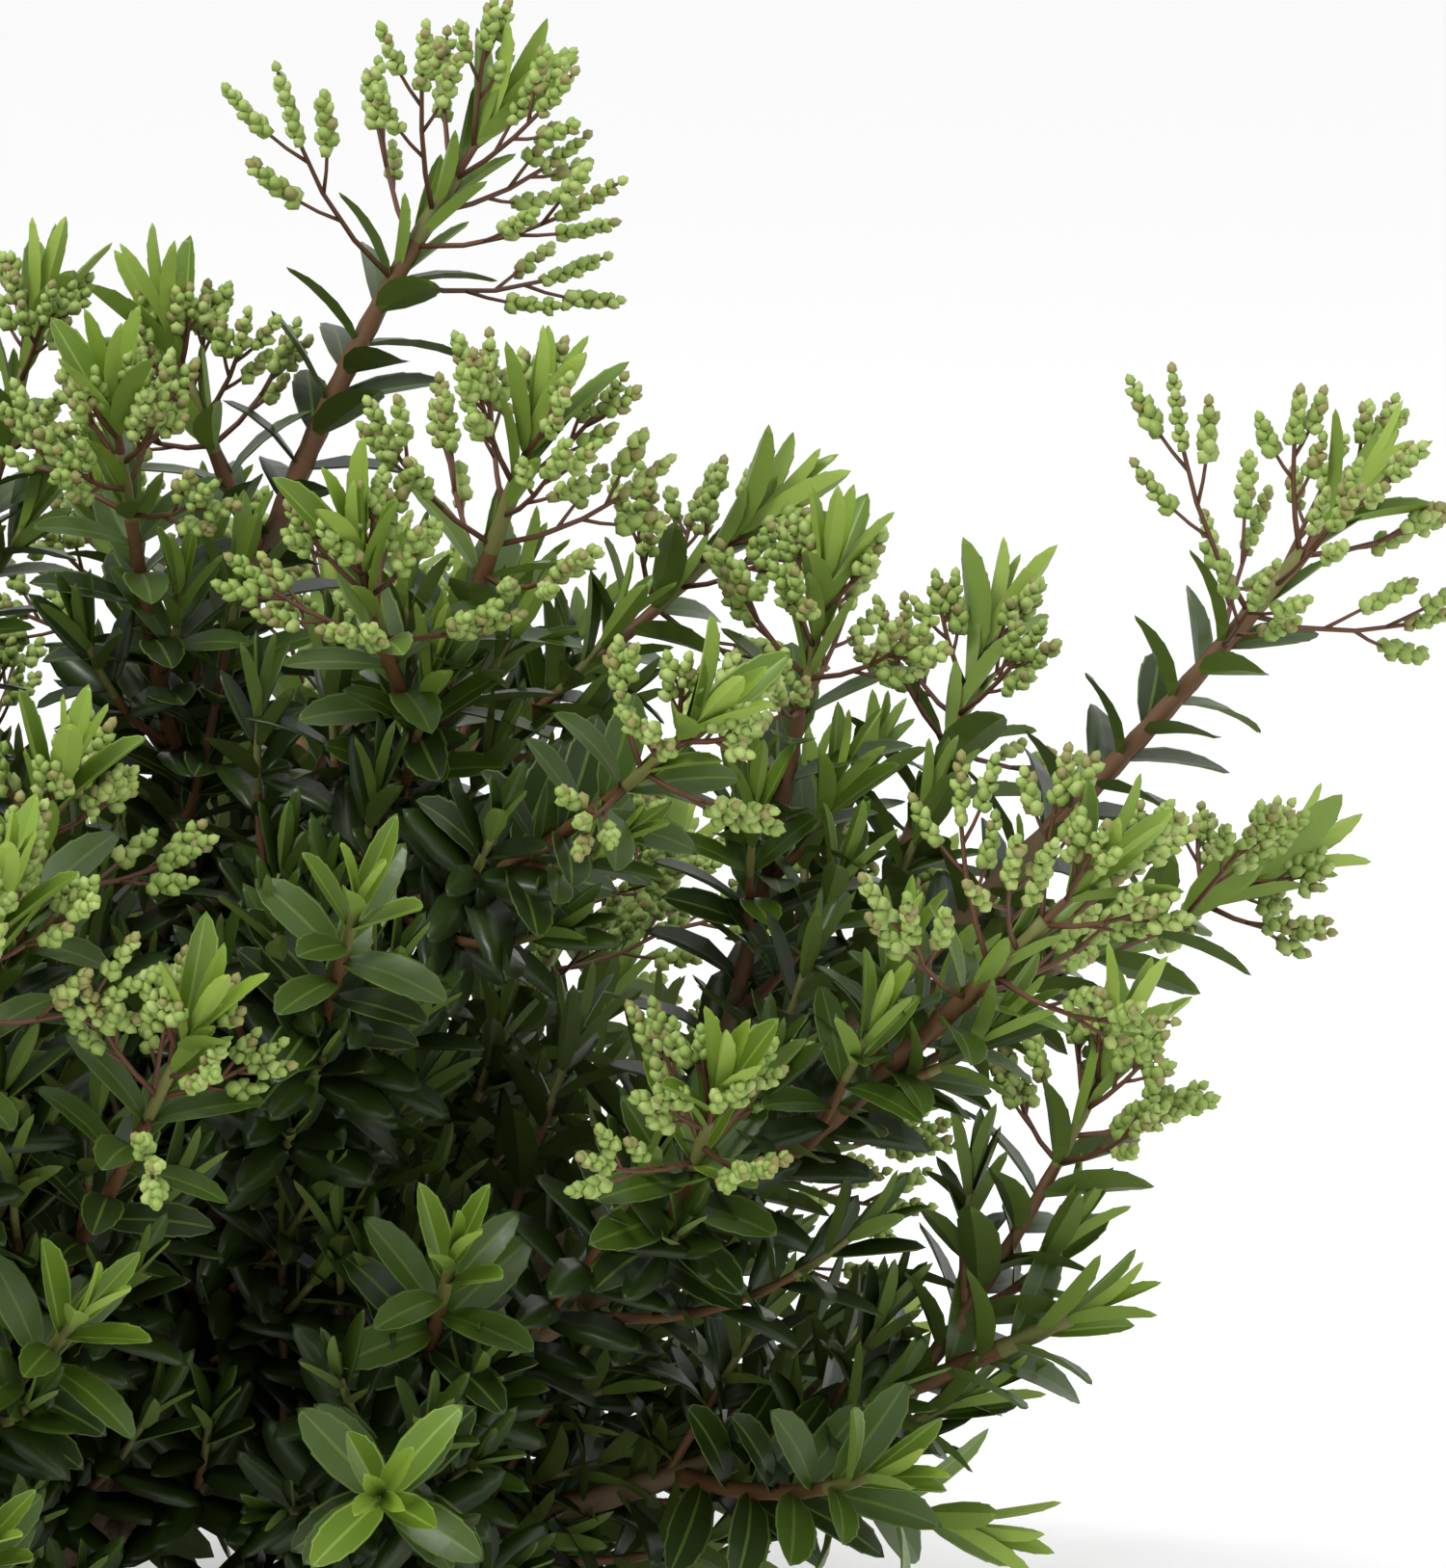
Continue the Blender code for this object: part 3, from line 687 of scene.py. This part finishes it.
def put_leaf(pile, root, direction, side, pair, share, draw, near, tint):
    """One leaf of a pair, young and upright near the tip, older and spreading further down."""
    stage = min(pair, len(PAIR_SIZES_MM) - 1)
    spread = math.radians(PAIR_SPREADS[stage] + draw.uniform(*SPREAD_JITTER))
    uplift = UP * LEAF_UPLIFT * (1 - abs(direction.z)) * min(1, stage / 3)
    along = (direction * math.cos(spread) + side * math.sin(spread) + uplift).normalized()
    across = along.cross(side).normalized()
    across = Matrix.Rotation(draw.uniform(-LEAF_ROLL, LEAF_ROLL), 3, along) @ across
    face = along.cross(across)
    length, width = PAIR_SIZES_MM[stage]
    size = draw.uniform(*SIZE_SPREAD) * share * MM
    young = stage < YOUNG_PAIRS
    curl = draw.uniform(*(YOUNG_CURL if young else OLD_CURL))
    fold = math.radians(draw.uniform(*(YOUNG_FOLD if young else OLD_FOLD)))
    blade = NEAR_BLADE if near else FAR_BLADE
    sizes = (length * size, width * size, LEAF_THICKNESS)
    blade.lay(pile, root, (along, across, face), sizes, curl or STRAIGHTEST, fold, tint)


def leaves_on(shoot, pile, draw):
    """The pairs of leaves of a shoot from its tip down, each pair square to the one before."""
    distance = shoot.length - CLUSTER_BELOW * shoot.cluster
    lowest = max(2 * MM, shoot.length - LEAFY_LEADER) if shoot.rank == 0 else 3 * MM
    pair = FIRST_PAIR_FLOWERING if shoot.cluster else 0
    slope = elevation_of(shoot.at(shoot.length * 0.7)[1])
    if slope < STEEP_SLOPE:
        turn = math.pi / 4 + draw.uniform(-LEVEL_TURN, LEVEL_TURN)
    else:
        turn = draw.uniform(0, math.pi)
    share = LATERAL_SHARE if shoot.rank == 2 else 1.0
    # Steps down the tints: a random step for the leaves' own varied tone, plus painted shade for shoots
    # inside the crown and for laterals.
    tone_and_painted_shade = draw.choice((0, 1, 1)) + (3 if shoot.inner else 0) + (1 if shoot.rank == 2 else 0)
    while distance > lowest:
        root, direction = shoot.at(distance)
        fallen = blend(0.0, MOST_FALLEN, (pair - FIRST_FALLEN) / (ALL_OLD - FIRST_FALLEN))
        near = shoot.length - distance < NEAR_WITHIN and not shoot.inner
        tint = TINT_FROM_PAIR[min(pair + tone_and_painted_shade, len(TINT_FROM_PAIR) - 1)]
        for sign in (1, -1):
            if draw.random() < fallen:
                continue
            side = turned_side(direction, turn + draw.uniform(-PAIR_TURN, PAIR_TURN)) * sign
            put_leaf(pile, root, direction, side, pair, share, draw, near, tint)
        distance -= PAIR_GAPS_MM[min(pair, len(PAIR_GAPS_MM) - 1)] * draw.uniform(*GAP_SPREAD) * MM
        turn += math.pi / 2
        pair += 1


def twig(shoot, pile, radii):
    """The stem of a shoot, green at its tip and browner with age, with a scar at each node."""
    count = max(6, round(shoot.length / TWIG_STEP))
    path = [shoot.at(shoot.length * k / count)[0] for k in range(count + 1)]
    thick = [blend(*radii, k / count) * SCAR_SWELLS[k % 2] for k in range(count + 1)]
    paints = []
    for k in range(count):
        left = shoot.length * (1 - (k + 0.5) / count)
        paints.append(0 if left < TWIG_GREEN else 1 if left < TWIG_RED else 2)
    tube(pile, path, thick, TWIG_SIDES, paints)


BUD_SKIN = skin(2, BUD_SIDES)


def bud(pile, root, axis, length, paint):
    """One closed bud, widest below its middle."""
    upright, level = sideways(axis)
    points = [root]
    for share, swell in BUD_RINGS:
        for k in range(BUD_SIDES):
            turn = 2 * math.pi * k / BUD_SIDES
            ray = upright * math.cos(turn) - level * math.sin(turn)
            points.append(root + axis * length * share + ray * length * BUD_WIDTH * swell)
    points.append(root + axis * length)
    corners, sizes, _ = BUD_SKIN
    pile.add(np.array(points), corners, sizes, np.full(len(sizes), paint))


def bud_colour(share, pale, draw):
    """Which colour a bud takes: green or paler, and some brown towards the tip."""
    if draw.random() < BROWN_LEAST + BROWN_RISE * share**4:
        return 2
    return 1 if draw.random() < pale else 0


def raceme(root, direction, side, angle, length, piles, draw, spur=False):
    """One branch of a bud cluster: a stalk that turns up, with pairs of buds towards its tip."""
    stalks, buds = piles
    out = direction * math.cos(angle) + side * math.sin(angle)
    end = root + (out * RACEME_OUT + direction * RACEME_ON + UP * RACEME_UP).normalized() * length
    path = quadratic(root, root + out * length * 0.5, end, RACEME_STEPS)
    thin = SPUR_THINNER if spur else 1.0
    radii = [blend(*STALK_RADII, k / RACEME_STEPS) * thin for k in range(RACEME_STEPS + 1)]
    tube(stalks, path, radii, STALK_SIDES, [0] * RACEME_STEPS)
    stem = Shoot(path, 0, 3, False)
    share = SPUR_BUDS_FROM if spur else BUDS_FROM
    turn, pale = draw.uniform(0, math.pi), draw.uniform(*PALE_SHARES)
    small = draw.uniform(0.88, 1.1)
    while share < 0.97:
        spot, along = stem.at(stem.length * share)
        size = blend(*BUD_LENGTHS_MM, share) * small * MM
        for sign in (1, -1):
            ray = turned_side(along, turn + draw.uniform(-0.3, 0.3)) * sign
            lean = BUD_ANGLE * draw.uniform(*BUD_LEAN_SPREAD)
            axis = along * math.cos(lean) + ray * math.sin(lean)
            length_here = size * draw.uniform(*BUD_SIZE_SPREAD)
            bud(buds, spot, axis, length_here, bud_colour(share, pale, draw))
        turn += math.pi / 2
        share += blend(*BUD_GAPS_MM, share) * MM / stem.length
    bud(buds, end, along, BUD_LENGTHS_MM[1] * MM, bud_colour(1.0, pale, draw))
    if spur:
        return
    for number, place in enumerate(SPUR_SHARES):
        spot, along = stem.at(stem.length * place)
        ray = turned_side(along, turn + math.pi * number + draw.uniform(-0.4, 0.4))
        raceme(spot, along, ray, math.radians(36), length * SPUR_LENGTH, piles, draw, spur=True)


def cluster_on(shoot, leaves, piles, draw):
    """The bud cluster of a flowering shoot, with narrow light leaves among it and at its tip."""
    size = shoot.cluster
    low, high = shoot.length - CLUSTER_BELOW * size, shoot.length + CLUSTER_ABOVE * size
    shares = [k / AXIS_STEPS for k in range(AXIS_STEPS + 1)]
    axis = [shoot.at(blend(low, high + 3 * MM, share))[0] for share in shares]
    radii = [blend(*AXIS_RADII, share) for share in shares]
    tube(piles[0], axis, radii, TWIG_SIDES, [0] * AXIS_STEPS)
    nodes = 2 + round(3 * size)
    turn = draw.uniform(0, math.pi)
    for k in range(nodes):
        share = k / (nodes - 1)
        root, direction = shoot.at(blend(low + MM, high - MM, share))
        length = RACEME_LENGTH * size * blend(*RACEME_SHARES, share)
        for sign in (1, -1):
            side = turned_side(direction, turn + draw.uniform(-0.25, 0.25)) * sign
            angle = math.radians(blend(*RACEME_ANGLES, share) + draw.uniform(-5, 5))
            reach = length * draw.uniform(*RACEME_LENGTH_SPREAD)
            raceme(root, direction, side, angle, reach, piles, draw)
            if draw.random() < CLUSTER_LEAF_SHARE:
                put_leaf(leaves, root, direction, side, 1, BRACT_SHARE, draw, True, 1)
        turn += math.pi / 2
    for pair in range(CLUSTER_TIP_PAIRS):
        root, direction = shoot.at(high + (3 - 2 * pair) * MM)
        for sign in (1, -1):
            side = turned_side(direction, turn) * sign
            tint = 0 if pair < 2 else 1
            put_leaf(leaves, root, direction, side, pair, CLUSTER_TIP_SHARE, draw, True, tint)
        turn += math.pi / 2


def laterals(parent, draw):
    """The short shoots that a shoot bears behind its tip, turning up towards the light."""
    turn = draw.uniform(0, math.pi)
    for place in LATERAL_PLACES_MM:
        distance = parent.length - place * MM * draw.uniform(*LATERAL_PLACE_SPREAD)
        turn += math.pi / 2 + draw.uniform(-0.3, 0.3)
        if distance < 8 * MM:
            return
        root, direction = parent.at(distance)
        for sign in (1, -1):
            if draw.random() < LATERALS_MISSING:
                continue
            length = place * MM * draw.uniform(*LATERAL_LENGTHS)
            side = turned_side(direction, turn) * sign
            out = direction * math.cos(LATERAL_ANGLE) + side * math.sin(LATERAL_ANGLE)
            way = out * LATERAL_OUT + direction * LATERAL_ON + UP * LATERAL_UP
            end = root + way.normalized() * length
            from_centre = end - CROWN_CENTRE
            reach = from_centre.length / dome_reach(elevation_of(from_centre))
            if reach > WIDEST_REACH or end.z < LATERAL_CLEAR_OF_GROUND:
                continue
            path = quadratic(root, root + out * length * 0.5, end, LATERAL_STEPS)
            yield Shoot(path, 0, 2, reach < INNER_SHARE)


def bough_shoots(limb, draw):
    """Leafy shoots on the outer part of a bough, which keep the middle of the shrub dense."""
    bearer = Shoot(limb, 0, 0, False)
    turn = draw.uniform(0, math.pi)
    for place in BOUGH_SHOOT_PLACES_MM:
        root, direction = bearer.at(place * MM)
        turn += math.pi / 2 + draw.uniform(-0.4, 0.4)
        for sign in (1, -1):
            length = draw.uniform(*BOUGH_SHOOT_LENGTHS_MM) * MM
            side = turned_side(direction, turn) * sign
            out = (direction * 0.6 + side * 0.8).normalized()
            end = root + (out * BOUGH_SHOOT_OUT + UP * BOUGH_SHOOT_UP).normalized() * length
            if end.z > LATERAL_CLEAR_OF_GROUND:
                path = quadratic(root, root + out * length * 0.5, end, LATERAL_STEPS)
                yield Shoot(path, 0, 2, True)


def wood(plan):
    """The trunk and the boughs, with bark relief and a flare where each bough leaves the stem."""
    pile = Pile()
    heights = [height * MM for height, _ in STEM_RINGS_MM]
    thick = [radius * MM for _, radius in STEM_RINGS_MM]
    top = heights[-1]
    path = [stem_axis(top * k / TRUNK_STEPS) for k in range(TRUNK_STEPS + 1)]
    radii = [float(np.interp(point.z, heights, thick)) for point in path]
    tube(pile, path, radii, TRUNK_SIDES, [0] * TRUNK_STEPS, relief=RELIEF)
    names = ["stem"]
    for ring, number, limb, _ in plan:
        radius = bough_radius(ring)
        steps = len(limb) - 1
        thick = [blend(radius, BOUGH_TIP_RADIUS, k / steps) for k in range(steps + 1)]
        flares = [1 + FLARE * math.exp(-s / FLARE_LENGTH) for s in lengths_along(limb)]
        thick = [r * flare for r, flare in zip(thick, flares)]
        tube(pile, limb, thick, LIMB_SIDES, [0] * steps, relief=RELIEF)
        names.append(f"bough_{ring}_{number}")
    bark = finish("bark", BARK_COLOURS[0], 0.8, 420, 0.0005, BARK_COLOURS[1])
    pile.piece("wood", [bark], "bark", names)


def grown_plan():
    """Every mass with its bough's dense path and its shoots, worked out by the source's rule."""
    stem_path = [stem_axis(height * MM) for height, _ in STEM_RINGS_MM]
    limbs = [(stem_path, [radius * MM for _, radius in STEM_RINGS_MM])]
    grown = []
    for ring, number, own, cone, shoots in crown_plan():
        path, length = fitted_limb(ring, shoots[0][0], cone, limbs)
        coarse = stretch(path, 0.0, length, BOUGH_STEPS)
        radius = bough_radius(ring)
        radii = [blend(radius, BOUGH_TIP_RADIUS, k / BOUGH_STEPS) for k in range(BOUGH_STEPS + 1)]
        limbs.append((coarse, radii))
        leader = stretch(path, length, lengths_along(path)[-1], LEADER_STEPS)
        carried = [Shoot(leader, shoots[0][1], 0, False)]
        for tip, cluster in shoots[1:]:
            side = side_path(leader, tip, own, cone)
            carried.append(Shoot(side, cluster, 1, False))
        grown.append((ring, number, stretch(path, 0.0, length, LIMB_STEPS), carried))
    return grown


def leaf_paints():
    """Each tint's upper and lower side, then the ribs and margins."""
    paints = []
    for name, (top, under) in LEAF_TINTS.items():
        paints.append(finish(f"leaf_{name}", top, 0.36, 900, 0.00004))
        paints.append(finish(f"leaf_{name}_under", under, 0.55, 900, 0.00004))
    paints += [finish(f"leaf_rib_{k}", colour, 0.45, 900, 0.00003)
               for k, colour in enumerate(RIB_COLOURS)]
    return paints


def crown(plan):
    """All the shoots with their leaves and buds, joined by kind and by mass or ring."""
    draw = random.Random(SEED)
    leaf_kit = leaf_paints()
    twig_kit = [finish(f"twig_{k}", colour, 0.6, 700, 0.0001)
                for k, colour in enumerate(TWIG_COLOURS)]
    stalk_kit = [finish("stalk", STALK_COLOUR, 0.6, 900, 0.00005)]
    bud_kit = [finish(f"bud_{k}", colour, 0.5, 1500, 0.00005)
               for k, colour in enumerate(BUD_COLOURS)]
    rings = {}
    for ring, number, limb, carried in plan:
        leaves = Pile()
        kinds, nodes = rings.setdefault(ring, ([Pile(), Pile(), Pile()], []))
        twigs, stalks, buds = kinds
        nodes.append(f"foliage_{ring}_{number}")
        extra = [small for shoot in carried for small in laterals(shoot, draw)]
        for shoot in carried + extra + list(bough_shoots(limb, draw)):
            twig(shoot, twigs, RANK_RADII[shoot.rank])
            leaves_on(shoot, leaves, draw)
            if shoot.cluster:
                cluster_on(shoot, leaves, (stalks, buds), draw)
        leaves.piece(f"leaves_{ring}_{number}", leaf_kit, "foliage", [nodes[-1]])
    for ring, (kinds, nodes) in rings.items():
        kits = (twig_kit, stalk_kit, bud_kit)
        for kind, pile, kit in zip(("twigs", "stalks", "buds"), kinds, kits):
            if pile.count:
                pile.piece(f"{kind}_{ring}", kit, "foliage", nodes)


def studio():
    """A plain pale floor, pale surroundings and soft lights."""
    world = bpy.data.worlds.new("studio")
    bpy.context.scene.world = world
    world.use_nodes = True
    world.node_tree.nodes["Background"].inputs["Color"].default_value = (1, 1, 1, 1)
    world.node_tree.nodes["Background"].inputs["Strength"].default_value = 1.0
    bpy.ops.mesh.primitive_plane_add(size=FLOOR_SIZE)
    floor = bpy.context.object
    floor.name = "floor"
    floor.data.materials.append(finish("floor", FLOOR_COLOUR, 0.8, 3, 0.0001))
    floor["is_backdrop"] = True
    for name, (place, size, power) in LAMPS.items():
        light = bpy.data.lights.new(name, "AREA")
        light.energy, light.size = power, size
        lamp = bpy.data.objects.new(name, light)
        lamp.location = place
        lamp.rotation_euler = (LAMP_AIM - lamp.location).to_track_quat("-Z", "Y").to_euler()
        bpy.context.scene.collection.objects.link(lamp)


def camera():
    """The camera at the photo's viewing angle."""
    data = bpy.data.cameras.new("camera")
    data.sensor_width = SENSOR
    data.lens = SENSOR * VIEW_DISTANCE / VIEW_HEIGHT
    data.clip_end = 100
    made = bpy.data.objects.new("camera", data)
    back = Vector((0, -math.cos(VIEW_ELEVATION), math.sin(VIEW_ELEVATION)))
    made.location = VIEW_MIDDLE + back * VIEW_DISTANCE
    made.rotation_euler = (-back).to_track_quat("-Z", "Y").to_euler()
    bpy.context.scene.collection.objects.link(made)
    bpy.context.scene.camera = made


plan = grown_plan()
wood(plan)
crown(plan)
studio()
camera()
bpy.context.scene.view_settings.view_transform = "Standard"
boxes = {"cad": CAD_BOX, "visual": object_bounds()}
{name: [list(corner) for corner in box] for name, box in boxes.items()}
